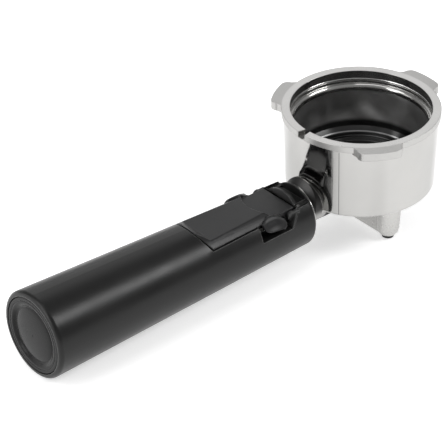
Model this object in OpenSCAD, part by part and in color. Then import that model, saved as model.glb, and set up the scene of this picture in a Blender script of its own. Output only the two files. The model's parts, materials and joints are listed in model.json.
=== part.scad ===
/* [Bowl] */
// Outer radius of the rim ring
rim_r = 31; // [30.5:0.1:31.5]
// Height of the rim ring
rim_h = 2.6; // [2.4:0.1:3]
// Outer radius of the wall just below the rim ring
wall_top_r = 30.5; // [30.2:0.1:30.7]
// Outer radius of the wall at the bottom
wall_bottom_r = 29.4; // [29:0.1:29.8]
// Height of the bowl from its underside to the rim
bowl_h = 32.8; // [32:0.1:34]
// Radius of the bore that the filter basket drops into
basket_bore_r = 27.7; // [27.5:0.1:27.9]
// Depth of the basket bore, down to the seat ledge
basket_bore_h = 5.5; // [5:0.1:6]
// Inner radius of the seat ledge
ledge_r = 26.2; // [26:0.1:26.5]
// Height of the seat ledge
ledge_h = 2.4; // [2:0.1:3]
// Depth of the cavity floor below the rim
cavity_depth = 26; // [25:0.5:27]
// Radius to the outer face of the locking lugs
lug_r = 35.3; // [34.5:0.1:36]
// Half of the angle that one lug covers at its outer face
lug_half_angle = 15.4; // [12:0.1:18]
// Thickness of the locking lugs
lug_h = 3.3; // [3:0.1:4]
// Half of the angle of the notch in the rim, on the handle's side
notch_half_angle = 4.7; // [4:0.1:6]
// Depth of the notch in the rim
notch_h = 2.4; // [2:0.1:3]

/* [Neck] */
// Radius of the cast neck between the bowl and the handle
neck_r = 9.4; // [9.2:0.1:9.6]
// Height of the neck's axis above the handle's axis
neck_rise = 3.7; // [3.6:0.1:3.8]
// Radius of the bright ring between the neck and the handle
ring_r = 11.4; // [11.2:0.1:11.6]
// Thickness of the bright ring
ring_t = 1; // [0.9:0.1:1.1]

/* [Handle] */
// Depth of the handle's axis below the rim
axis_depth = 34.1; // [34.1:0.1:34.3]
// Distance from the bowl's axis to the front of the handle
handle_front = 34; // [34:0.1:34.2]
// Distance from the bowl's axis to the free end of the handle
handle_end = 159.7; // [150:0.1:165]
// Radius of the handle at its front
handle_front_r = 13.3; // [13.2:0.1:13.5]
// Radius of the handle at its free end
handle_end_r = 17.2; // [17.1:0.1:17.3]
// Radius of the seam between the handle and its end cap
cap_r = 15.1; // [14.8:0.1:15.3]
// Radius of the domed centre of the end cap
dome_r = 10.7; // [9:0.1:11.2]

/* [Lever] */
// Distance from the bowl's axis to the lever's hinge pin
pin_x = 44.6; // [44.5:0.1:44.7]
// Height of the hinge pin above the handle's axis
pin_rise = 7.5; // [7.4:0.1:7.6]
// Radius of the hinge pin
pin_r = 1.25; // [1.2:0.05:1.3]
// Angle of the lever, 0 folded down and 105 against the rim
lever_angle = 0; // [0:5:105]
// Width of the lever's hinge and platform
platform_w = 17.8; // [17:0.1:18]

/* [Spout] */
// Distance of each outlet from the bowl's axis
outlet_y = 17; // [15:0.5:18]
// Thickness of the bar between the outlets
bar_t = 7; // [6:0.5:8]

/* [Hidden] */
$fn = 96;
eps = 0.01;
big = 60;

// heights of the handle's levels, in the part's own frame
axis_z = -axis_depth;
slot_z = axis_z + 9.2;
plate_top_z = axis_z + 12.1;
platform_top_z = axis_z + 9.9;
platform_bottom_z = axis_z + 7.7;
recess_z = axis_z + 3.9;
pin_z = axis_z + pin_rise;

// lengths along the handle
seam_low_x = -84.4;
seam_high_x = -88.4;
seam_high_z = axis_z + 15.6;
recess_back_x = -61.5;
recess_corner_x = -48;
face_low_x = -46.4;
face_mid_x = -42;
face_high_x = -39;
face_high_z = axis_z + 15.2;
strip_w = 1;
bulkhead_x = -98;
crest_x = -42.3;

// the lever's details
lever_gap = 0.35;
arc_r = 11.8;
arc_centre_x = -45.7;
knuckle_r = platform_top_z - pin_z;
cheek_t = 1.2;
cheek_y = platform_w / 2 + 0.45;
pin_end_y = cheek_y + cheek_t - 0.4;

// the bolt and the spigot
bolt_r = 3;
bolt_bore_r = 3.15;
spigot_r = 4.6;
spigot_end_x = -39.5;
thread_end_x = -23.2;
turn_pin_x = -31.4;
turn_pin_rise = 6.7;
turn_pin_r = 1;

// the spout
gasket_t = 0.6;
spout_top_z = -bowl_h - gasket_t;
bar_bottom_z = axis_z - 15;
tip_top_z = axis_z - 15.7;
tip_bottom_z = axis_z - handle_end_r;
channel_z = -42;
inlet_y = 7.5;
inlet_r = 2.2;

black = "#2a2a2b";
cast = "#c9c8c4";
steel = "#b4b6b8";

// points of a circular arc in a plane
function arc_points(cx, cy, r, a0, a1, n = 6) =
    [for (i = [0:n]) [cx + r * cos(a0 + (a1 - a0) * i / n), cy + r * sin(a0 + (a1 - a0) * i / n)]];

// places a shape drawn about +Z on the handle's axis, pointing from x towards the free end
module on_handle(x) {
    translate([x, 0, axis_z])
        rotate([0, -90, 0])
            children();
}

// a straight cylinder across the handle, centred on y = 0
module across(x, z, r, w) {
    translate([x, 0, z])
        rotate([90, 0, 0])
            cylinder(h = w, r = r, center = true);
}

// extrudes a side view, drawn in X and Z, across the handle
module side_view(points, w) {
    rotate([90, 0, 0])
        linear_extrude(height = w, center = true)
            polygon(points);
}

// the handle's outer form: a slim cone with rounded ends
module handle_form(grow = 0) {
    length = handle_end - handle_front;
    front_round = 1.5;
    end_round = 1.6;
    on_handle(-handle_front)
        rotate_extrude()
            polygon(concat(
                [[0, 0]],
                arc_points(handle_front_r + grow - front_round, front_round, front_round, -90, 0),
                arc_points(handle_end_r + grow - end_round, length - end_round, end_round, 0, 90),
                [[0, length]]
            ));
}

// side view of the space that the lever's plate lies in, from the rear seam to the front
function slot_outline(z) = [
    [seam_low_x, z],
    [seam_high_x, seam_high_z],
    [-handle_front + 1, seam_high_z],
    [-handle_front + 1, z]
];

// side view of the hinge block: the slanted face that the lever folds against
function block_outline(shift, bottom_z) = [
    [face_high_x + shift, face_high_z],
    [face_mid_x + shift, slot_z],
    [face_low_x + shift, recess_z + 0.4],
    [face_low_x + shift, bottom_z],
    [-handle_front + 1, bottom_z],
    [-handle_front + 1, face_high_z]
];

// ---------- bowl ----------

// a locking lug with rounded corners
module lug_sector(angle) {
    root_half_w = 10.2;
    root_r = 28;
    corner_r = 3;
    corner_angle = lug_half_angle - atan(corner_r / (lug_r - corner_r));
    corner_x = (lug_r - corner_r) * cos(corner_angle);
    corner_y = (lug_r - corner_r) * sin(corner_angle);
    rotate([0, 0, angle])
        translate([0, 0, -lug_h])
            linear_extrude(height = lug_h)
                polygon(concat(
                    [[20, 0], [root_r, -root_half_w]],
                    arc_points(corner_x, -corner_y, corner_r, -98, -corner_angle),
                    arc_points(0, 0, lug_r, -corner_angle, corner_angle),
                    arc_points(corner_x, corner_y, corner_r, corner_angle, 98),
                    [[root_r, root_half_w]]
                ));
}

module bowl_outside() {
    bottom_round = 1.8;
    rotate_extrude($fn = 144)
        polygon(concat(
            [[0, -bowl_h]],
            arc_points(wall_bottom_r - bottom_round, bottom_round - bowl_h, bottom_round, -90, 0),
            [[wall_top_r, -rim_h], [rim_r, -rim_h], [rim_r, 0], [0, 0]]
        ));
    for (angle = [0, 120, 240])
        lug_sector(angle);
}

// the cast neck, level with the handle's top and raked up to the bowl's underside at its inner end
module neck() {
    face_x = -handle_front + ring_t;
    inner_x = -12;
    rake_x = -25;
    neck_z = axis_z + neck_rise;
    floor_z = -cavity_depth - 2;
    length = inner_x - face_x;
    flare_r = 8;
    flare_rise = 2;
    intersection() {
        translate([inner_x, 0, neck_z])
            rotate([0, -90, 0])
                cylinder(h = length, r = neck_r);
        // slimmer at the ring, flaring towards the bowl
        translate([inner_x, 0, axis_z + flare_rise])
            rotate([0, -90, 0])
                cylinder(h = length, r1 = flare_r + length, r2 = flare_r);
        side_view([
            [face_x - 1, axis_z + 20],
            [face_x - 1, axis_z - 20],
            [rake_x, axis_z - 20],
            [rake_x, neck_z - neck_r],
            [inner_x - 1, -bowl_h + 0.5],
            [inner_x, floor_z],
            [-28, floor_z],
            [-28, axis_z + 20]
        ], big);
    }
    on_handle(face_x)
        cylinder(h = face_x - spigot_end_x, r = spigot_r);
}

module bowl_cavity() {
    groove_top = 3.2;
    groove_h = 1;
    groove_r = basket_bore_r + 0.8;
    shoulder_r = basket_bore_r - ledge_r;
    ledge_bottom_z = -basket_bore_h - ledge_h;
    wall_r = ledge_r + 0.5;
    floor_r = wall_r - 1;
    rotate_extrude($fn = 144)
        polygon(concat(
            [
                [0, 1],
                [basket_bore_r, 1],
                [basket_bore_r, -groove_top],
                [groove_r, -groove_top],
                [groove_r, -groove_top - groove_h],
                [basket_bore_r, -groove_top - groove_h]
            ],
            // rounded shoulder that the basket sits on
            arc_points(basket_bore_r, -basket_bore_h - shoulder_r, shoulder_r, 90, 180, 8),
            [
                [ledge_r, ledge_bottom_z],
                [wall_r, ledge_bottom_z - 0.5],
                [floor_r, -cavity_depth + 2],
                [floor_r - 2, -cavity_depth],
                [20, -cavity_depth],
                [19.6, -cavity_depth - 0.8],
                [14, -cavity_depth - 0.8],
                [13.6, -cavity_depth - 1.6],
                [0, -cavity_depth - 1.6]
            ]
        ));
}

module bowl() {
    color(cast)
        difference() {
            union() {
                bowl_outside();
                neck();
            }
            bowl_cavity();
            // notch through the rim for the basket's tab
            translate([0, 0, -notch_h])
                linear_extrude(height = notch_h + 1)
                    polygon([
                        [-22, 0],
                        [-36, -36 * tan(notch_half_angle)],
                        [-36, 36 * tan(notch_half_angle)]
                    ]);
            // hole for the spout's screw and the two drain holes
            translate([0, 0, -bowl_h - 1])
                cylinder(h = 12, r = 2.6);
            for (side = [-1, 1])
                translate([0, side * inlet_y, -bowl_h - 1])
                    cylinder(h = 12, r = inlet_r);
            // threaded hole for the handle's bolt, and the hole for the anti-turn pin
            on_handle(thread_end_x)
                cylinder(h = 20, r = bolt_r + 0.05);
            on_handle(turn_pin_x)
                translate([turn_pin_rise, 0, -0.2])
                    cylinder(h = 5, r = turn_pin_r + 0.05);
        }
}

module neck_ring() {
    color(steel)
        on_handle(-handle_front + ring_t)
            difference() {
                cylinder(h = ring_t, r = ring_r);
                translate([0, 0, -1])
                    cylinder(h = ring_t + 2, r = spigot_r + 0.1);
                translate([turn_pin_rise, 0, -1])
                    cylinder(h = ring_t + 2, r = turn_pin_r + 0.1);
            }
}

module anti_turn_pin() {
    color(steel)
        on_handle(turn_pin_x)
            translate([turn_pin_rise, 0, 0])
                cylinder(h = 7, r = turn_pin_r);
}

// ---------- handle ----------

module handle_shell() {
    cavity_r = 12.7;
    cavity_end_r = 14.3;
    cavity_length = handle_end + bulkhead_x;
    color(black)
        difference() {
            handle_form();
            // slot for the lever's plate and the hinge block
            side_view(slot_outline(slot_z), big);
            // recess below the lever's hinge, open at both sides for the finger tabs
            side_view([
                [recess_back_x, recess_z],
                [recess_back_x, slot_z + 1],
                [face_mid_x + strip_w, slot_z + 1],
                [face_mid_x + strip_w, slot_z],
                [face_low_x + strip_w, recess_z + 0.4],
                [face_low_x + strip_w, recess_z + 0.1],
                [recess_corner_x, recess_z]
            ], big);
            // socket for the hinge block
            on_handle(-handle_front + 1)
                cylinder(h = 8.2 + 1, r = 11.3);
            intersection() {
                on_handle(-handle_front)
                    cylinder(h = 14, r = 11.3);
                side_view(block_outline(-0.1, recess_z), big);
            }
            hinge_room();
            cheeks(0.1);
            // bolt hole and the hollow behind the bulkhead
            on_handle(-handle_front)
                cylinder(h = 80, r = bolt_bore_r);
            on_handle(bulkhead_x)
                cylinder(h = cavity_length + 1, r1 = cavity_r, r2 = cavity_end_r);
            // seat for the end cap
            on_handle(-handle_end + 1.8)
                cylinder(h = 5, r = cap_r + 0.12);
            // pilot holes for the detent screws
            for (side = [-1, 1])
                translate([-57, side * 5, recess_z - 5])
                    cylinder(h = 6, r = 0.95);
        }
}

module end_cap() {
    cap_t = 1.7;
    skirt_r = 13.9;
    skirt_length = 9;
    line_r = 13.7;
    slope_w = 2;
    slope_depth = 0.9;
    dome_h = 0.95;
    color(black) {
        on_handle(-handle_end + 1.8)
            rotate_extrude()
                polygon(concat(
                    [[0, 0], [cap_r - 0.05, 0], [cap_r - 0.05, 1.2]],
                    arc_points(cap_r - 0.55, 1.2, 0.5, 0, 90, 4),
                    // fine line round the cap
                    [[line_r, cap_t], [line_r - 0.2, cap_t - 0.2], [line_r - 0.4, cap_t]],
                    // the face sinks a little towards the dome in the middle
                    [for (i = [0:6]) [
                        dome_r + slope_w * (1 - i / 6),
                        cap_t - slope_depth * (1 - cos(30 * i)) / 2
                    ]],
                    [for (i = [1:10]) [
                        dome_r * cos(9 * i),
                        cap_t - slope_depth + dome_h * sin(9 * i)
                    ]]
                ));
        on_handle(-handle_end + 1.8 + skirt_length)
            difference() {
                cylinder(h = skirt_length + eps, r = skirt_r);
                translate([0, 0, -1])
                    cylinder(h = skirt_length + 1, r = skirt_r - 1.6);
                for (turn = [0, 120, 240])
                    rotate([0, 0, turn])
                        translate([0, -1.5, -1])
                            cube([20, 3, 6]);
            }
    }
}

module handle_bolt() {
    head_h = 6;
    head_r = 5;
    washers = 2.7;
    color(steel)
        difference() {
            union() {
                on_handle(-24)
                    cylinder(h = -bulkhead_x - 24 + washers, r = bolt_r);
                on_handle(bulkhead_x - washers)
                    cylinder(h = head_h, r = head_r);
            }
            on_handle(bulkhead_x - washers - 3)
                cylinder(h = 4, r = 2.9, $fn = 6);
        }
}

module flat_washer() {
    color(steel)
        on_handle(bulkhead_x)
            difference() {
                cylinder(h = 1.2, r = 6.2);
                translate([0, 0, -1])
                    cylinder(h = 4, r = 3.2);
            }
}

module spring_washer() {
    color(steel)
        on_handle(bulkhead_x - 1.2)
            difference() {
                cylinder(h = 1.5, r = 5.4);
                translate([0, 0, -1])
                    cylinder(h = 4, r = 3.2);
                rotate([0, 0, 20])
                    translate([0, -0.5, -1])
                        cube([8, 1, 4]);
            }
}

// ---------- lever and hinge ----------

// the space that the lever's hinge turns in, between the cheeks, up to where its platform stops at full lift
module hinge_room() {
    lift = 105;
    reach = knuckle_r + 0.35;
    foot_x = -pin_x + reach * sin(lift);
    foot_z = pin_z + reach * cos(lift);
    top_z = axis_z + 16;
    across(-pin_x, pin_z, 3.9, 2 * cheek_y);
    translate([-pin_x - 6, -cheek_y, recess_z])
        cube([6, 2 * cheek_y, 12]);
    side_view([
        [-pin_x, pin_z],
        [foot_x, foot_z],
        [foot_x - (top_z - foot_z) / tan(lift), top_z],
        [-pin_x, top_z]
    ], 2 * cheek_y);
}

// cheeks that carry the hinge pin, one at each side of the hinge room
module cheeks(grow = 0) {
    w = 2 * (cheek_y + cheek_t + grow);
    end_r = 1.9 + grow;
    end_x = face_mid_x + 1 + grow;
    across(-pin_x, pin_z, end_r, w);
    side_view([
        [-pin_x, pin_z - end_r],
        [-pin_x, pin_z + 1.6 + grow],
        [end_x, pin_z + 1.6 + grow],
        [end_x, pin_z - end_r]
    ], w);
}

// the part of a shape that lies above the slot's floor
module above_slot(z) {
    intersection() {
        children();
        side_view(slot_outline(z), big);
    }
}

module hinge_block() {
    top_r = 12.2;
    body_r = 11.2;
    rail_in_y = 8.7;
    pocket_wall = 1.5;
    front_x = -handle_front;
    seam = 0.25;
    color(black)
        difference() {
            union() {
                // round body inside the handle's front
                on_handle(front_x)
                    cylinder(h = 8, r = body_r);
                intersection() {
                    side_view(block_outline(0, recess_z + 0.1), big);
                    union() {
                        on_handle(front_x)
                            cylinder(h = 14, r = body_r);
                        // top, recessed between the rails
                        above_slot(slot_z + seam)
                            on_handle(front_x)
                                cylinder(h = 14, r = top_r);
                        // rails, level with the handle
                        above_slot(slot_z + seam)
                            difference() {
                                handle_form();
                                translate([-60, -rail_in_y, slot_z])
                                    cube([40, 2 * rail_in_y, 20]);
                            }
                        // strip that shows beside the recess
                        difference() {
                            handle_form();
                            side_view(block_outline(strip_w - seam, recess_z - 1), big + 1);
                            translate([-60, -rail_in_y, slot_z])
                                cube([40, 2 * rail_in_y, 20]);
                        }
                    }
                }
                cheeks();
            }
            hinge_room();
            // pocket in the top, between the slanted wall and the front wall
            side_view([
                [face_mid_x + pocket_wall, slot_z - 1],
                [face_high_x + pocket_wall, face_high_z],
                [front_x - 0.6, face_high_z],
                [front_x - 0.6, slot_z - 1]
            ], 2 * rail_in_y - 0.4);
            across(-pin_x, pin_z, pin_r, 2 * pin_end_y);
            // holes for the spigot, the bolt and the anti-turn pin
            on_handle(front_x + 1)
                cylinder(h = -spigot_end_x - handle_front + 1.1, r = spigot_r + 0.1);
            on_handle(front_x + 1)
                cylinder(h = 20, r = bolt_bore_r);
            on_handle(front_x + 1)
                translate([turn_pin_rise, 0, 0])
                    cylinder(h = 6, r = turn_pin_r + 0.05);
        }
}

// a tab at the lever's side for the fingertips, proud of the handle and lower towards the front
module finger_tab(side) {
    proud = 1.3;
    inner_y = platform_w / 2 - 0.1;
    intersection() {
        handle_form(proud);
        side_view(concat(
            arc_points(-54.6, axis_z + 9, 2.6, 62, 262, 10),
            arc_points(-50.9, axis_z + 7.8, 1.9, -98, 62, 10)
        ), big);
        translate([-70, side > 0 ? inner_y : -inner_y - 20, axis_z])
            cube([30, 20, 20]);
    }
}

module press_lever() {
    color(black)
        translate([-pin_x, 0, pin_z])
            rotate([0, lever_angle, 0])
                translate([pin_x, 0, -pin_z])
                    lever_at_rest();
}

module lever_at_rest() {
    scoop_x = -83;
    difference() {
        union() {
            // plate: a slice of the handle's form with a flat thumb rest cut into it
            difference() {
                intersection() {
                    handle_form();
                    side_view([
                        [seam_low_x + lever_gap, slot_z + lever_gap],
                        [seam_high_x + lever_gap, seam_high_z],
                        [-50, seam_high_z],
                        [-50, slot_z + lever_gap]
                    ], big);
                }
                side_view([
                    [scoop_x - 4.6, axis_z + 15.2],
                    [scoop_x, plate_top_z],
                    [-40, plate_top_z],
                    [-40, axis_z + 25],
                    [scoop_x - 4.6, axis_z + 25]
                ], big);
                translate([arc_centre_x, 0, platform_top_z])
                    cylinder(h = 10, r = arc_r);
            }
            // platform that carries the hinge
            translate([recess_back_x + 0.6, -platform_w / 2, platform_bottom_z])
                cube([crest_x - recess_back_x - 0.6, platform_w, platform_top_z - platform_bottom_z]);
            across(-pin_x, pin_z, knuckle_r, platform_w);
            for (side = [-1, 1])
                finger_tab(side);
        }
        across(-pin_x, pin_z, pin_r + 0.05, 40);
        // hollows under the plate, with ribs left between them
        for (y = [-6, 0, 6])
            translate([-81, y - 2.4, slot_z])
                cube([18, 4.8, 1.4]);
    }
}

module lever_pin() {
    color(steel)
        across(-pin_x, pin_z, pin_r, 2 * pin_end_y);
}

module detent_spring() {
    leaf_t = 0.5;
    base_z = recess_z;
    color(steel)
        difference() {
            union() {
                translate([-59.5, -7.5, base_z])
                    cube([5, 15, leaf_t]);
                side_view([
                    [-55, base_z],
                    [-55, base_z + leaf_t],
                    [-52, base_z + leaf_t],
                    [-47, base_z + 0.85],
                    [-45.6, base_z + 0.6],
                    [-45.6, base_z + 0.2],
                    [-47, base_z + 0.4],
                    [-52, base_z]
                ], 6);
            }
            for (side = [-1, 1])
                translate([-57, side * 5, base_z - 1])
                    cylinder(h = 3, r = 1.05);
        }
}

module detent_screws() {
    color(steel)
        for (side = [-1, 1])
            translate([-57, side * 5, recess_z]) {
                translate([0, 0, -4.5])
                    cylinder(h = 5, r = 0.9);
                translate([0, 0, 0.5])
                    cylinder(h = 1, r = 1.9);
            }
}

// ---------- spout ----------

module spout_body() {
    outlet_top_r = 5.2;
    color(cast)
        difference() {
            union() {
                translate([0, 0, -bowl_h - gasket_t - 2.4])
                    cylinder(h = 2.4, r = 11);
                translate([-bar_t / 2, -outlet_y, bar_bottom_z])
                    cube([bar_t, 2 * outlet_y, spout_top_z - bar_bottom_z]);
                for (side = [-1, 1])
                    translate([0, side * outlet_y, 0])
                        rotate_extrude()
                            polygon(concat(
                                [[0, tip_top_z], [2.8, tip_top_z]],
                                [for (a = [20:20:80]) [2.8 + 1.7 * sin(a), tip_top_z + 3.4 - 3.4 * cos(a)]],
                                [[4.5, tip_top_z + 3.4], [outlet_top_r, spout_top_z], [0, spout_top_z]]
                            ));
            }
            // channel from the drain holes to the outlets
            translate([0, 0, channel_z])
                rotate([90, 0, 0])
                    cylinder(h = 2 * outlet_y, r = 2.4, center = true);
            for (side = [-1, 1]) {
                translate([0, side * inlet_y, channel_z])
                    cylinder(h = 20, r = inlet_r);
                translate([0, side * outlet_y, bar_bottom_z - 3])
                    cylinder(h = channel_z - bar_bottom_z + 3, r = 2);
                translate([0, side * outlet_y, tip_top_z - 1])
                    cylinder(h = 5, r = 2.3);
            }
            // thread for the spout's screw
            translate([0, 0, -39])
                cylinder(h = 10, r = 2.53);
        }
}

module spout_gasket() {
    color("#8c8c88")
        translate([0, 0, spout_top_z])
            difference() {
                cylinder(h = gasket_t, r = 10.6);
                translate([0, 0, -1])
                    cylinder(h = 3, r = 2.7);
                for (side = [-1, 1])
                    translate([0, side * inlet_y, -1])
                        cylinder(h = 3, r = inlet_r);
            }
}

module spout_screw() {
    head_z = -cavity_depth - 1.6;
    color(steel)
        difference() {
            union() {
                translate([0, 0, -38.8])
                    cylinder(h = 38.8 + head_z, r = 2.5);
                translate([0, 0, head_z])
                    cylinder(h = 1.6, r = 4.6);
            }
            translate([-6, -0.6, head_z + 0.8])
                cube([12, 1.2, 3]);
        }
}

module spout_tip(side) {
    color("#1c1c1c")
        translate([0, side * outlet_y, 0])
            difference() {
                union() {
                    translate([0, 0, tip_bottom_z])
                        cylinder(h = tip_top_z - tip_bottom_z, r1 = 2.35, r2 = 2.75);
                    translate([0, 0, tip_top_z])
                        cylinder(h = 3.8, r = 2.25);
                }
                translate([0, 0, tip_bottom_z - 1])
                    cylinder(h = 9, r = 1.5);
            }
}

module spout_tip_left() {
    spout_tip(1);
}

module spout_tip_right() {
    spout_tip(-1);
}

bowl();
neck_ring();
anti_turn_pin();
handle_shell();
end_cap();
handle_bolt();
spring_washer();
flat_washer();
hinge_block();
press_lever();
lever_pin();
detent_spring();
detent_screws();
spout_body();
spout_gasket();
spout_screw();
spout_tip_left();
spout_tip_right();
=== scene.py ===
import json
import math

import bmesh
import bpy
from mathutils import Matrix, Vector


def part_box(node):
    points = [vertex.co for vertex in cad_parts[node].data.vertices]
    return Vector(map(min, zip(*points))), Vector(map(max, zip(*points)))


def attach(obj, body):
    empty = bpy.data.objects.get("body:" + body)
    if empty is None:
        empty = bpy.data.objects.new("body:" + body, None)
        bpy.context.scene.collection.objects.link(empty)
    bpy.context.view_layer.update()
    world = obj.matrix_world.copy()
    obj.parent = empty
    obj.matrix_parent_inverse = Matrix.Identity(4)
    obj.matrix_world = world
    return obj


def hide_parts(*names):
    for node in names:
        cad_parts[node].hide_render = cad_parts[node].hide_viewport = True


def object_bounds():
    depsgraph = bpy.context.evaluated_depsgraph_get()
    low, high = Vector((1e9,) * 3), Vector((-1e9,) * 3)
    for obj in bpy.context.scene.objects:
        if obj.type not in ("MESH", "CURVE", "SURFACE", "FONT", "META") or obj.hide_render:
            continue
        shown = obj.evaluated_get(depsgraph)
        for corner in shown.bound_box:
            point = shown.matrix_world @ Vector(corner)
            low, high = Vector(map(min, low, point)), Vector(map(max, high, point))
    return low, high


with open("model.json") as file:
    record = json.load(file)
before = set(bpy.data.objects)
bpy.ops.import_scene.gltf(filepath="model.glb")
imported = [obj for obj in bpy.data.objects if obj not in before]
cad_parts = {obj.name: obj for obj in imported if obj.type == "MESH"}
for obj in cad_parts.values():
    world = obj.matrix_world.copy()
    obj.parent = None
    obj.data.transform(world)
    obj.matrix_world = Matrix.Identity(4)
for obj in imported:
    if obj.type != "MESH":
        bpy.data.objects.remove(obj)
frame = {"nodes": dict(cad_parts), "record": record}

CAD_LOW, CAD_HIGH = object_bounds()
NODES = frame["nodes"]
MM = 0.001


def mm(*values):
    """millimetres as metres"""
    return tuple(value * MM for value in values)


# ---------- places on the object, in metres ----------

SHELL_LOW, SHELL_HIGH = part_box("handle_shell")
AXIS_Z = (SHELL_LOW.z + SHELL_HIGH.z) / 2
FLOOR_Z = CAD_LOW.z

# Each pair of values below is the start and the end of a soft change between two finishes, or
# between a finish and a painted dark colour: the neck's painted reflection, the painted shade of
# the cavity's floor and of the hinge block, and a thin painted dark line.
# R is a distance from the bowl's axis, or for the hinge block's cheeks from the handle's axis.
# Z is a height and X a place along the handle's direction.
# The rim's top has the height 0, and the handle lies towards negative X.
RIM_TOP_Z = mm(-0.4, -0.1)
LUG_R = mm(30.7, 31)
LUG_Z = mm(-6, -5)
BORE_R = mm(28.7, 28.5)
BORE_TOP_Z = mm(-0.3, -0.6)
LEDGE_Z = mm(-4.8, -5.2)
CAVITY_R = mm(27.2, 26.9)
CAVITY_TOP_Z = mm(-7.9, -8.3)
CAVITY_FLOOR_Z = mm(-20, -22.2)
OFF_WALL = mm(0.04, 0.1)
NECK_TOP_Z = mm(-10, -14)
NECK_OWN_METAL_Z = mm(-30.5, -34.5)
NECK_OWN_METAL_X = mm(-32, -33)
BOWL_BOTTOM_Z = mm(-33, -33.2)
ROOT_X = mm(-25.5, -26.5)
ROOT_Z = mm(-10, -12)
DARK_LINE_DISTANCE = mm(0.08, 0.2)
DARK_LINE_X = mm(-10, -11)
DARK_LINE_Z = mm(-3, -3.4)
POCKET_BACK_X = mm(-40, -39.5)
POCKET_FRONT_X = mm(-34.5, -34.9)
POCKET_Z = mm(-21.4, -21.8)
CHEEK_X = mm(-41.8, -42.4)
CHEEK_R = mm(12.8, 12.5)

# the bowl wall's radius is WALL_TOP_R at the rim and shrinks by WALL_SLOPE with depth
WALL_TOP_R = 30.6 * MM
WALL_SLOPE = 0.0387
# the direction from the bowl's axis to a thin dark line painted down the wall
DARK_LINE_ANGLE = math.radians(211.5)
DARK_LINE_SIN = math.sin(DARK_LINE_ANGLE)
DARK_LINE_COS = math.cos(DARK_LINE_ANGLE)
# the distance between the turning marks on the cavity's floor
TURNING_PITCH = 2.6 * MM


# ---------- camera ----------

def make_camera():
    azimuth, elevation, roll = (math.radians(angle) for angle in (-39.6802, 33.3341, -0.5905))
    distance = 0.9470488
    target = Vector((-0.0619329, 0.0092111, -0.0325191))
    level = Vector((math.cos(azimuth), math.sin(azimuth), 0))
    back = Vector((
        math.sin(azimuth) * math.cos(elevation),
        -math.cos(azimuth) * math.cos(elevation),
        math.sin(elevation),
    ))
    over = back.cross(level)
    right = level * math.cos(roll) + over * math.sin(roll)
    up = -level * math.sin(roll) + over * math.cos(roll)
    data = bpy.data.cameras.new("camera")
    data.sensor_width = 36
    data.lens = 198.744
    data.clip_start = 0.01
    data.clip_end = 20
    camera = bpy.data.objects.new("camera", data)
    bpy.context.scene.collection.objects.link(camera)
    matrix = Matrix((right, up, back)).transposed().to_4x4()
    matrix.translation = target + back * distance
    camera.matrix_world = matrix
    bpy.context.scene.camera = camera


make_camera()
bpy.context.scene.view_settings.view_transform = "Standard"


# ---------- node helpers ----------

# nearly all values of a noise lie in this span
NOISE_SPAN = (0.3, 0.7)


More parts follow.
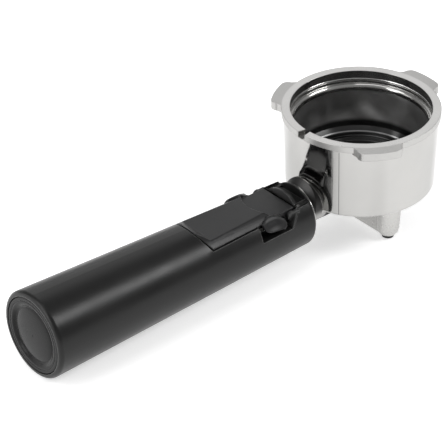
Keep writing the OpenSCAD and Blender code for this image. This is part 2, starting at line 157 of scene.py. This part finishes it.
class Tree:
    """Builds the nodes of one material."""

    def __init__(self, name):
        self.material = bpy.data.materials.new(name)
        self.material.use_nodes = True
        self.nodes = self.material.node_tree.nodes
        self.links = self.material.node_tree.links
        self.shader = self.nodes["Principled BSDF"]
        coords = self.nodes.new("ShaderNodeTexCoord")
        self.coords = coords.outputs["Object"]

    def link(self, source, target):
        self.links.new(source, target)

    def put(self, socket, value):
        """value is a number, a colour or another node's output"""
        if isinstance(value, bpy.types.NodeSocket):
            self.link(value, socket)
        elif isinstance(value, tuple) and len(value) == 3 and socket.type == "RGBA":
            socket.default_value = (*value, 1)
        else:
            socket.default_value = value

    def set(self, **values):
        """sets inputs of the shader, whose names are written with _ for a space"""
        for name, value in values.items():
            self.put(self.shader.inputs[name.replace("_", " ")], value)

    def scaled(self, scale):
        """the coordinates times scale, to stretch a noise"""
        node = self.nodes.new("ShaderNodeMapping")
        node.inputs["Scale"].default_value = scale
        self.link(self.coords, node.inputs["Vector"])
        return node.outputs["Vector"]

    def noise(self, scale, detail=3.0, rough=0.5, vector=None):
        node = self.nodes.new("ShaderNodeTexNoise")
        node.inputs["Scale"].default_value = scale
        node.inputs["Detail"].default_value = detail
        node.inputs["Roughness"].default_value = rough
        self.link(vector or self.coords, node.inputs["Vector"])
        return node.outputs["Fac"]

    def ramp(self, value, start, end, at_start=0.0, at_end=1.0):
        """a soft change from at_start to at_end, while value goes from start to end"""
        node = self.nodes.new("ShaderNodeMapRange")
        node.interpolation_type = "SMOOTHSTEP"
        node.inputs["From Min"].default_value = start
        node.inputs["From Max"].default_value = end
        node.inputs["To Min"].default_value = at_start
        node.inputs["To Max"].default_value = at_end
        self.link(value, node.inputs["Value"])
        return node.outputs["Result"]

    def maths(self, operation, a, b=0.0):
        node = self.nodes.new("ShaderNodeMath")
        node.operation = operation
        self.put(node.inputs[0], a)
        self.put(node.inputs[1], b)
        return node.outputs[0]

    def plus(self, a, b):
        return self.maths("ADD", a, b)

    def minus(self, a, b):
        return self.maths("SUBTRACT", a, b)

    def times(self, a, b):
        """a product, or the overlap of two masks"""
        return self.maths("MULTIPLY", a, b)

    def either(self, a, b):
        """one mask or the other"""
        return self.maths("MAXIMUM", a, b)

    def length(self, a, b):
        """how long a line is that goes a one way and b across it"""
        return self.maths("SQRT", self.plus(self.times(a, a), self.times(b, b)))

    def mix(self, factor, a, b):
        node = self.nodes.new("ShaderNodeMix")
        node.data_type = "RGBA"
        self.put(node.inputs["Factor"], factor)
        self.put(node.inputs["A"], a)
        self.put(node.inputs["B"], b)
        return node.outputs["Result"]

    def axes(self):
        node = self.nodes.new("ShaderNodeSeparateXYZ")
        self.link(self.coords, node.inputs["Vector"])
        return node.outputs["X"], node.outputs["Y"], node.outputs["Z"]

    def vector_maths(self, operation, a, b):
        """a node that works on the vector a with b, a vector or, for SCALE, a number"""
        node = self.nodes.new("ShaderNodeVectorMath")
        node.operation = operation
        self.link(a, node.inputs[0])
        self.link(b, node.inputs["Scale"] if operation == "SCALE" else node.inputs[1])
        return node

    def true_normal(self):
        return self.nodes.new("ShaderNodeNewGeometry").outputs["Normal"]

    def round_edges(self, radius):
        """the normal with edges rounded by radius"""
        bevel = self.nodes.new("ShaderNodeBevel")
        bevel.samples = 4
        bevel.inputs["Radius"].default_value = radius
        return bevel.outputs["Normal"]

    def round_edges_except(self, radius, mask):
        """rounded edges, but the true normal where mask is 1"""
        rounded = self.vector_maths("SCALE", self.round_edges(radius), self.minus(1.0, mask))
        plain = self.vector_maths("SCALE", self.true_normal(), mask)
        total = self.vector_maths("ADD", rounded.outputs["Vector"], plain.outputs["Vector"])
        return total.outputs["Vector"]

    def edge_wear_and_highlight(self, radius, start, end):
        """1 along edges, 0 on flat faces; start and end say how far the normal has to turn"""
        dot = self.vector_maths("DOT_PRODUCT", self.round_edges(radius), self.true_normal())
        return self.ramp(self.minus(1.0, dot.outputs["Value"]), start, end)

    def bump(self, height, strength, distance, normal=None):
        node = self.nodes.new("ShaderNodeBump")
        node.inputs["Strength"].default_value = strength
        node.inputs["Distance"].default_value = distance
        self.link(height, node.inputs["Height"])
        if normal:
            self.link(normal, node.inputs["Normal"])
        return node.outputs["Normal"]


# ---------- the bowl's metal ----------

# The colours of each finish, and of painted marks: reflection bands, a dark line, the shade on the
# cavity's floor and the neck's dark reflection. A pair is mixed by a noise, or on the cavity's
# floor by the turning marks. A share is how much of a colour is laid over the wall's at most.
WALL_COLOURS = ((0.46, 0.455, 0.445), (0.54, 0.535, 0.52))
# darker bands down the wall, a painted reflection
PAINTED_REFLECTION_BAND_COLOUR = (0.33, 0.327, 0.32)
PAINTED_REFLECTION_BAND_SPAN = (0.42, 0.66)
PAINTED_REFLECTION_BAND_SHARE = 0.45
# a thin dark line painted down the polished wall
DARK_LINE_COLOUR = (0.09, 0.09, 0.09)
DARK_LINE_SHARE = 0.75
TOP_COLOURS = ((0.42, 0.415, 0.41), (0.64, 0.635, 0.62))
BORE_COLOURS = ((0.36, 0.355, 0.345), (0.58, 0.575, 0.56))
CAVITY_COLOURS = ((0.50, 0.50, 0.50), (0.66, 0.655, 0.65))
# the cavity's floor is painted dark as shade, less dark along the turning marks
CAVITY_FLOOR_PAINTED_SHADE_COLOURS = ((0.05, 0.05, 0.05), (0.3, 0.3, 0.3))
TURNING_SPAN = (0.82, 1.0)
# the neck's dark colours are a painted reflection of the black handle
NECK_PAINTED_REFLECTION_COLOURS = ((0.028, 0.028, 0.028), (0.062, 0.061, 0.06))
NECK_OWN_METAL_COLOUR = (0.5, 0.495, 0.485)

# the wall's least and most roughness, and how much rougher the other places are
WALL_ROUGH = (0.06, 0.11)
ROUGHER = {"top": 0.2, "lug": 0.3, "bore": 0.12, "ledge": 0.08, "cavity": 0.19, "neck": 0.3}


def bowl_masks(tree):
    """where each finish of the one casting lies, and where shade, a reflection and a dark line are
    painted, by its place on the bowl
    """
    x, y, z = tree.axes()
    radius = tree.length(x, y)
    bore = tree.times(tree.ramp(radius, *BORE_R), tree.ramp(z, *BORE_TOP_Z))
    ledge = tree.times(bore, tree.ramp(z, *LEDGE_Z))
    # the neck is all that lies outside the wall's own cone, or below the bowl
    wall_r = tree.plus(tree.times(z, WALL_SLOPE), WALL_TOP_R)
    neck = tree.ramp(tree.minus(radius, wall_r), *OFF_WALL)
    neck = tree.times(neck, tree.ramp(z, *NECK_TOP_Z))
    # where the thin dark line is painted down the wall
    off_line = tree.minus(tree.times(x, DARK_LINE_SIN), tree.times(y, DARK_LINE_COS))
    dark_line = tree.ramp(tree.maths("ABSOLUTE", off_line), *DARK_LINE_DISTANCE, 1, 0)
    dark_line = tree.times(dark_line, tree.ramp(x, *DARK_LINE_X))
    return {
        "top": tree.ramp(z, *RIM_TOP_Z),
        "lug": tree.times(tree.ramp(radius, *LUG_R), tree.ramp(z, *LUG_Z)),
        "bore": tree.minus(bore, ledge),
        "ledge": ledge,
        "cavity": tree.times(tree.ramp(radius, *CAVITY_R), tree.ramp(z, *CAVITY_TOP_Z)),
        "floor": tree.ramp(z, *CAVITY_FLOOR_Z),
        "turning": tree.maths("SINE", tree.times(radius, 2 * math.pi / TURNING_PITCH)),
        "neck": tree.either(neck, tree.ramp(z, *BOWL_BOTTOM_Z)),
        # where the neck keeps the metal's own colour instead of the painted dark reflection
        "own_metal": tree.either(tree.ramp(z, *NECK_OWN_METAL_Z), tree.ramp(x, *NECK_OWN_METAL_X, 0, 0.5)),
        "root": tree.times(tree.ramp(x, *ROOT_X), tree.ramp(z, *ROOT_Z)),
        "dark_line": tree.times(dark_line, tree.ramp(z, *DARK_LINE_Z)),
    }


def bowl_colour(tree, masks, cloud, grit, bands):
    """polished wall with painted reflection bands and a painted dark line, satin top, turned bore,
    uneven cavity whose floor is painted dark as shade, and a dull neck painted dark as a reflection
    of the black handle
    """
    wall = tree.mix(cloud, *WALL_COLOURS)
    # darker bands down the wall, a painted reflection
    wall = tree.mix(tree.ramp(bands, *PAINTED_REFLECTION_BAND_SPAN, 0, PAINTED_REFLECTION_BAND_SHARE), wall, PAINTED_REFLECTION_BAND_COLOUR)
    # a thin dark line painted down the wall
    wall = tree.mix(tree.times(masks["dark_line"], DARK_LINE_SHARE), wall, DARK_LINE_COLOUR)
    top = tree.mix(grit, *TOP_COLOURS)
    lathe = tree.noise(1, 2, 0.6, tree.scaled((60, 60, 9000)))
    bore = tree.mix(lathe, *BORE_COLOURS)
    # the cavity's floor is painted dark as shade, less dark along the turning marks
    floor = tree.mix(tree.ramp(masks["turning"], *TURNING_SPAN), *CAVITY_FLOOR_PAINTED_SHADE_COLOURS)
    cavity = tree.mix(masks["floor"], tree.mix(cloud, *CAVITY_COLOURS), floor)
    # the neck is painted dark as a reflection of the black handle, and keeps the metal's own colour
    # low down and near the ring
    neck = tree.mix(masks["own_metal"], tree.mix(grit, *NECK_PAINTED_REFLECTION_COLOURS), NECK_OWN_METAL_COLOUR)
    colour = tree.mix(masks["top"], wall, top)
    colour = tree.mix(masks["neck"], colour, neck)
    colour = tree.mix(masks["bore"], colour, bore)
    return tree.mix(masks["cavity"], colour, cavity)


def bowl_metal():
    tree = Tree("cast_aluminium_polished")
    masks = bowl_masks(tree)
    cloud = tree.noise(45, 4, 0.55)
    grit = tree.noise(2200, 3, 0.7)
    # both run down the wall: wide bands, which dent the wall and also darken its colour as a
    # painted reflection, and finer streaks
    bands = tree.noise(1, 1, 0.4, tree.scaled((48, 48, 2)))
    streaks = tree.noise(1, 3, 0.6, tree.scaled((160, 160, 6)))
    rough = tree.ramp(cloud, *NOISE_SPAN, *WALL_ROUGH)
    for place, more in ROUGHER.items():
        rough = tree.plus(rough, tree.times(masks[place], more))
    # no sharp highlight where the neck runs into the wall
    normal = tree.round_edges_except(0.35 * MM, masks["root"])
    grain = tree.times(grit, tree.either(masks["top"], masks["neck"]))
    normal = tree.bump(grain, 0.3, 0.1 * MM, normal)
    normal = tree.bump(streaks, 0.05, 1.2 * MM, normal)
    normal = tree.bump(bands, 0.7, 4 * MM, normal)
    lumps = tree.times(tree.minus(tree.noise(88, 0, 0.5), 0.5), masks["cavity"])
    normal = tree.bump(lumps, 0.9, 3 * MM, normal)
    tree.set(
        Base_Color=bowl_colour(tree, masks, cloud, grit, bands),
        Metallic=1.0,
        Roughness=rough,
        Normal=normal,
    )
    return tree.material


# ---------- the other materials ----------

WEAR_AND_HIGHLIGHT_R = 0.6 * MM
METAL_WEAR = (0.02, 0.25)
# on plastic the lighter edges are a painted highlight, on metal they are wear
PLASTIC_EDGE_HIGHLIGHT = (0.015, 0.15)
PLASTIC_EDGE_HIGHLIGHT_SHARE = 0.7
# near-black painted shade for the hinge block's pocket and cheeks
SHADE_COLOUR = (0.002, 0.002, 0.002)
SHADE_ROUGHER = 0.45


def tint(colour, factor):
    """a lighter or darker colour"""
    return tuple(min(1, part * factor) for part in colour)


def plain_metal(name, colour, rough):
    tree = Tree(name)
    grain = tree.noise(1, 3, 0.6, tree.scaled((200, 200, 200)))
    tone = tree.mix(grain, tint(colour, 0.9), colour)
    tree.set(
        Base_Color=tree.mix(tree.edge_wear_and_highlight(WEAR_AND_HIGHLIGHT_R, *METAL_WEAR), tone, tint(colour, 1.15)),
        Metallic=1.0,
        Roughness=tree.ramp(grain, *NOISE_SPAN, rough * 0.8, rough * 1.25),
        Normal=tree.bump(tree.noise(1500, 2), 0.08, 0.1 * MM, tree.round_edges(0.3 * MM)),
    )
    return tree.material


def plastic(name, low, high, rough, specular=0.45, edge=3.5, shade=None):
    """Moulded black plastic between the colours low and high, whose edges are painted edge times
    lighter as a highlight.
    shade is a function that returns a mask of the places that are painted near-black as shade and
    made rougher."""
    tree = Tree(name)
    cloud = tree.noise(38, 4, 0.6)
    fine = tree.noise(2600, 2, 0.55)
    # edges painted lighter as a highlight
    edge_highlight = tree.times(tree.edge_wear_and_highlight(WEAR_AND_HIGHLIGHT_R, *PLASTIC_EDGE_HIGHLIGHT), PLASTIC_EDGE_HIGHLIGHT_SHARE)
    tone = tree.mix(edge_highlight, tree.mix(cloud, low, high), tint(high, edge))
    rough = tree.ramp(cloud, *NOISE_SPAN, rough - 0.04, rough + 0.05)
    if shade:
        mask = shade(tree)
        # painted shade
        tone = tree.mix(mask, tone, SHADE_COLOUR)
        rough = tree.plus(rough, tree.times(mask, SHADE_ROUGHER))
    tree.set(
        Base_Color=tone,
        Roughness=rough,
        Specular_IOR_Level=specular,
        Normal=tree.bump(fine, 0.16, 0.12 * MM, tree.round_edges(0.45 * MM)),
    )
    return tree.material


def in_pocket(tree):
    """the hinge block's pocket and its cheeks beside the lever, painted near-black as shade"""
    x, y, z = tree.axes()
    pocket = tree.times(tree.ramp(x, *POCKET_BACK_X), tree.ramp(z, *POCKET_Z))
    pocket = tree.times(pocket, tree.ramp(x, *POCKET_FRONT_X))
    off_axis = tree.length(y, tree.minus(z, AXIS_Z))
    cheek = tree.times(tree.ramp(x, *CHEEK_X), tree.ramp(off_axis, *CHEEK_R))
    return tree.either(pocket, cheek)


def rubber(name, colour):
    tree = Tree(name)
    speck = tree.noise(1800, 3, 0.6)
    tree.set(
        Base_Color=tree.mix(speck, tint(colour, 0.7), tint(colour, 1.3)),
        Roughness=tree.ramp(speck, *NOISE_SPAN, 0.62, 0.8),
        Normal=tree.bump(speck, 0.3, 0.2 * MM),
    )
    return tree.material


MATERIALS = {
    "cast_aluminium": bowl_metal(),
    "polished_steel": plain_metal("polished_steel", (0.72, 0.72, 0.71), 0.16),
    "zinc_steel": plain_metal("zinc_steel", (0.52, 0.52, 0.5), 0.3),
    # the black plastic's edges are painted 17 times lighter as a highlight
    "black_plastic": plastic(
        "black_plastic", (0.006, 0.006, 0.006), (0.009, 0.009, 0.0088),
        rough=0.32, specular=0.29, edge=17,
    ),
    "lever_plastic": plastic(
        "lever_plastic", (0.010, 0.010, 0.0105), (0.014, 0.014, 0.0145),
        rough=0.36, specular=0.27,
    ),
    "silicone": rubber("silicone", (0.35, 0.35, 0.34)),
    "black_rubber": rubber("black_rubber", (0.012, 0.012, 0.012)),
}

# finishes for single nodes whose surface differs from the rest of their slot; the hinge block's
# pocket and the neck ring's darker steel are painted shade
SPECIAL = {
    "end_cap": plastic(
        "end_cap_plastic", (0.004, 0.004, 0.004), (0.007, 0.007, 0.007),
        rough=0.24, specular=0.18,
    ),
    "hinge_block": plastic(
        "hinge_block_plastic", (0.010, 0.010, 0.010), (0.014, 0.014, 0.014),
        rough=0.36, shade=in_pocket,
    ),
    "spout_body": plain_metal("cast_aluminium_satin", (0.56, 0.555, 0.54), 0.26),
    # the neck ring's steel is darker than the polished steel as painted shade
    "neck_ring": plain_metal("ring_steel_painted_shade", (0.5, 0.5, 0.49), 0.22),
    "spout_screw": plain_metal("screw_steel", (0.2, 0.2, 0.195), 0.36),
}


# ---------- the CAD nodes ----------

# how wide the rounding of each node's edges is
SOFT_EDGES = {
    "bowl": 0.22 * MM,
    "neck_ring": 0.15 * MM,
    "handle_shell": 0.22 * MM,
    "end_cap": 0.2 * MM,
    "hinge_block": 0.2 * MM,
    "spout_body": 0.3 * MM,
}
# an edge is rounded where its faces meet at more than this
EDGE_ANGLE = math.radians(28)


def soften(obj, width):
    """rounds the edges a little and keeps flat faces flat"""
    bevel = obj.modifiers.new("edges", "BEVEL")
    bevel.width = width
    bevel.segments = 2
    bevel.limit_method = "ANGLE"
    bevel.angle_limit = EDGE_ANGLE
    bevel.harden_normals = False
    bevel.use_clamp_overlap = True


for part in frame["record"]["subparts"]:
    node = NODES[part["node"]]
    node.data.materials.clear()
    node.data.materials.append(SPECIAL.get(part["node"], MATERIALS[part["material_slot"]]))
    if part["node"] in SOFT_EDGES:
        soften(node, SOFT_EDGES[part["node"]])


# ---------- the spring wire in the bore ----------

def make_basket_spring():
    """the spring wire in the bore's groove that holds a filter basket"""
    ring_r, wire_r, height = mm(28.05, 0.42, -3.7)
    gap = math.radians(16)
    start = math.radians(250) + gap / 2
    sweep = 2 * math.pi - gap
    count = 120
    curve = bpy.data.curves.new("basket_spring", "CURVE")
    curve.dimensions = "3D"
    curve.bevel_depth = wire_r
    curve.bevel_resolution = 4
    curve.use_fill_caps = True
    spline = curve.splines.new("POLY")
    spline.points.add(count)
    for index, point in enumerate(spline.points):
        angle = start + sweep * index / count
        point.co = (ring_r * math.cos(angle), ring_r * math.sin(angle), height, 1)
    spring = bpy.data.objects.new("basket_spring", curve)
    bpy.context.scene.collection.objects.link(spring)
    curve.materials.append(MATERIALS["polished_steel"])
    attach(spring, "holder")


make_basket_spring()


# ---------- the lever, as a moulding with soft edges ----------

# The finger tabs, in millimetres. Each pair is the start and the end of a fade: SIDE is a
# distance from the lever's middle plane, X a place along the handle's direction.
TAB_SIDE = (7.8, 9.3)
TAB_BACK_X = (-61, -57.5)
TAB_FRONT_X = (-47, -48.5)
# a shallow hollow in each tab's outer face, RISE above the handle's axis
HOLLOW_X = -54.4
HOLLOW_RISE = 8.2
HOLLOW_LENGTH = 2.8
HOLLOW_HEIGHT = 1.7
HOLLOW_DEPTH = 0.8
HOLLOW_SIDE = (10.5, 12)
# the tabs' ends are drawn out towards the plate's edge
DRAWN_BY = 2.3
DRAWN_FRONT_X = (-52.5, -57)
DRAWN_BACK_X = (-61, -57.3)
DRAWN_SIDE = (9, 10)


def evaluated(obj):
    """a mesh with the object's modifiers applied"""
    graph = bpy.context.evaluated_depsgraph_get()
    return bpy.data.meshes.new_from_object(obj.evaluated_get(graph))


def fade(value, start, end):
    """0 before start, 1 after end, smooth between"""
    share = min(1, max(0, (value - start) / (end - start)))
    return share * share * (3 - 2 * share)


def shape_tabs(lever):
    """hollows the finger tabs, draws them out and marks them as the vertex group tabs"""
    tabs = lever.vertex_groups.new(name="tabs")
    for vertex in lever.data.vertices:
        x, y, z = (c / MM for c in vertex.co)
        side = abs(y)
        weight = fade(side, *TAB_SIDE) * fade(x, *TAB_BACK_X) * fade(x, *TAB_FRONT_X)
        if weight > 0:
            tabs.add([vertex.index], weight, "REPLACE")
            along = (x - HOLLOW_X) / HOLLOW_LENGTH
            rise = (z - AXIS_Z / MM - HOLLOW_RISE) / HOLLOW_HEIGHT
            depth = HOLLOW_DEPTH * math.exp(-along * along - rise * rise) * fade(side, *HOLLOW_SIDE)
            drawn = fade(x, *DRAWN_FRONT_X) * fade(x, *DRAWN_BACK_X) * fade(side, *DRAWN_SIDE)
            vertex.co.y -= math.copysign(depth * MM, y)
            vertex.co.x -= DRAWN_BY * MM * drawn


def smooth(obj, name, factor, iterations, group=""):
    modifier = obj.modifiers.new(name, "SMOOTH")
    modifier.factor = factor
    modifier.iterations = iterations
    modifier.vertex_group = group


def make_lever():
    mesh = bpy.data.meshes.new("lever_moulding")
    form = bmesh.new()
    form.from_mesh(NODES["press_lever"].data)
    bmesh.ops.remove_doubles(form, verts=form.verts, dist=0.001 * MM)
    form.to_mesh(mesh)
    form.free()
    lever = bpy.data.objects.new("lever_moulding", mesh)
    bpy.context.scene.collection.objects.link(lever)
    voxel = lever.modifiers.new("moulding", "REMESH")
    voxel.mode = "VOXEL"
    voxel.voxel_size = 0.22 * MM
    voxel.use_smooth_shade = True
    lever.data = evaluated(lever)
    lever.modifiers.clear()
    shape_tabs(lever)
    smooth(lever, "round_tabs", 0.6, 9, "tabs")
    smooth(lever, "soft_edges", 0.5, 4)
    lever.data.materials.clear()
    lever.data.materials.append(MATERIALS["lever_plastic"])
    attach(lever, "lever")
    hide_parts("press_lever")


make_lever()


# ---------- floor and light ----------

FLOOR_GAP = 0.1 * MM
SKY_STRENGTH = 0.36
# the point that the soft boxes face
LIT_POINT = Vector((-0.05, 0, -0.03))
# name, direction from that point, distance, size, radiance
SOFT_BOXES = (
    ("back_panel", (0.53, 0.64, 0.55), 1.3, 1.2, 0.78),
    ("key_box", (0.53, -0.55, 0.64), 1.1, 0.36, 13),
    ("end_panel", (-0.92, 0.05, 0.25), 1.3, 0.5, 5),
    ("left_panel", (-0.76, 0.64, 0.14), 1.3, 0.7, 1.6),
    ("top_box", (-0.1, 0.05, 1), 1.3, 0.7, 1.2),
    ("fill_box", (-0.75, 0.2, 0.65), 1.3, 0.9, 2.6),
)


def make_floor():
    """white paper that glows a little, so that it stays white beside the object"""
    mesh = bpy.data.meshes.new("floor")
    form = bmesh.new()
    bmesh.ops.create_circle(form, cap_ends=True, radius=3, segments=64)
    form.to_mesh(mesh)
    form.free()
    floor = bpy.data.objects.new("floor", mesh)
    floor.location.z = FLOOR_Z - FLOOR_GAP
    bpy.context.scene.collection.objects.link(floor)
    tree = Tree("floor_paper")
    tree.set(
        Base_Color=tree.mix(tree.noise(12, 2), (0.9, 0.9, 0.9), (0.93, 0.93, 0.93)),
        Roughness=0.9,
        Emission_Color=(1, 1, 1),
        Emission_Strength=0.5,
    )
    floor.data.materials.append(tree.material)


def make_sky():
    world = bpy.data.worlds.new("studio")
    bpy.context.scene.world = world
    world.use_nodes = True
    background = world.node_tree.nodes["Background"]
    background.inputs["Color"].default_value = (1, 1, 1, 1)
    background.inputs["Strength"].default_value = SKY_STRENGTH


def soft_light(name, direction, distance, size, radiance):
    """a round soft box that faces the object, as bright as radiance"""
    data = bpy.data.lights.new(name, "AREA")
    data.shape = "DISK"
    data.size = size
    data.energy = radiance * math.pi * math.pi * size * size / 4
    lamp = bpy.data.objects.new(name, data)
    bpy.context.scene.collection.objects.link(lamp)
    away = Vector(direction).normalized()
    lamp.location = LIT_POINT + away * distance
    lamp.rotation_euler = away.to_track_quat("Z", "Y").to_euler()


make_floor()
make_sky()
for soft_box in SOFT_BOXES:
    soft_light(*soft_box)
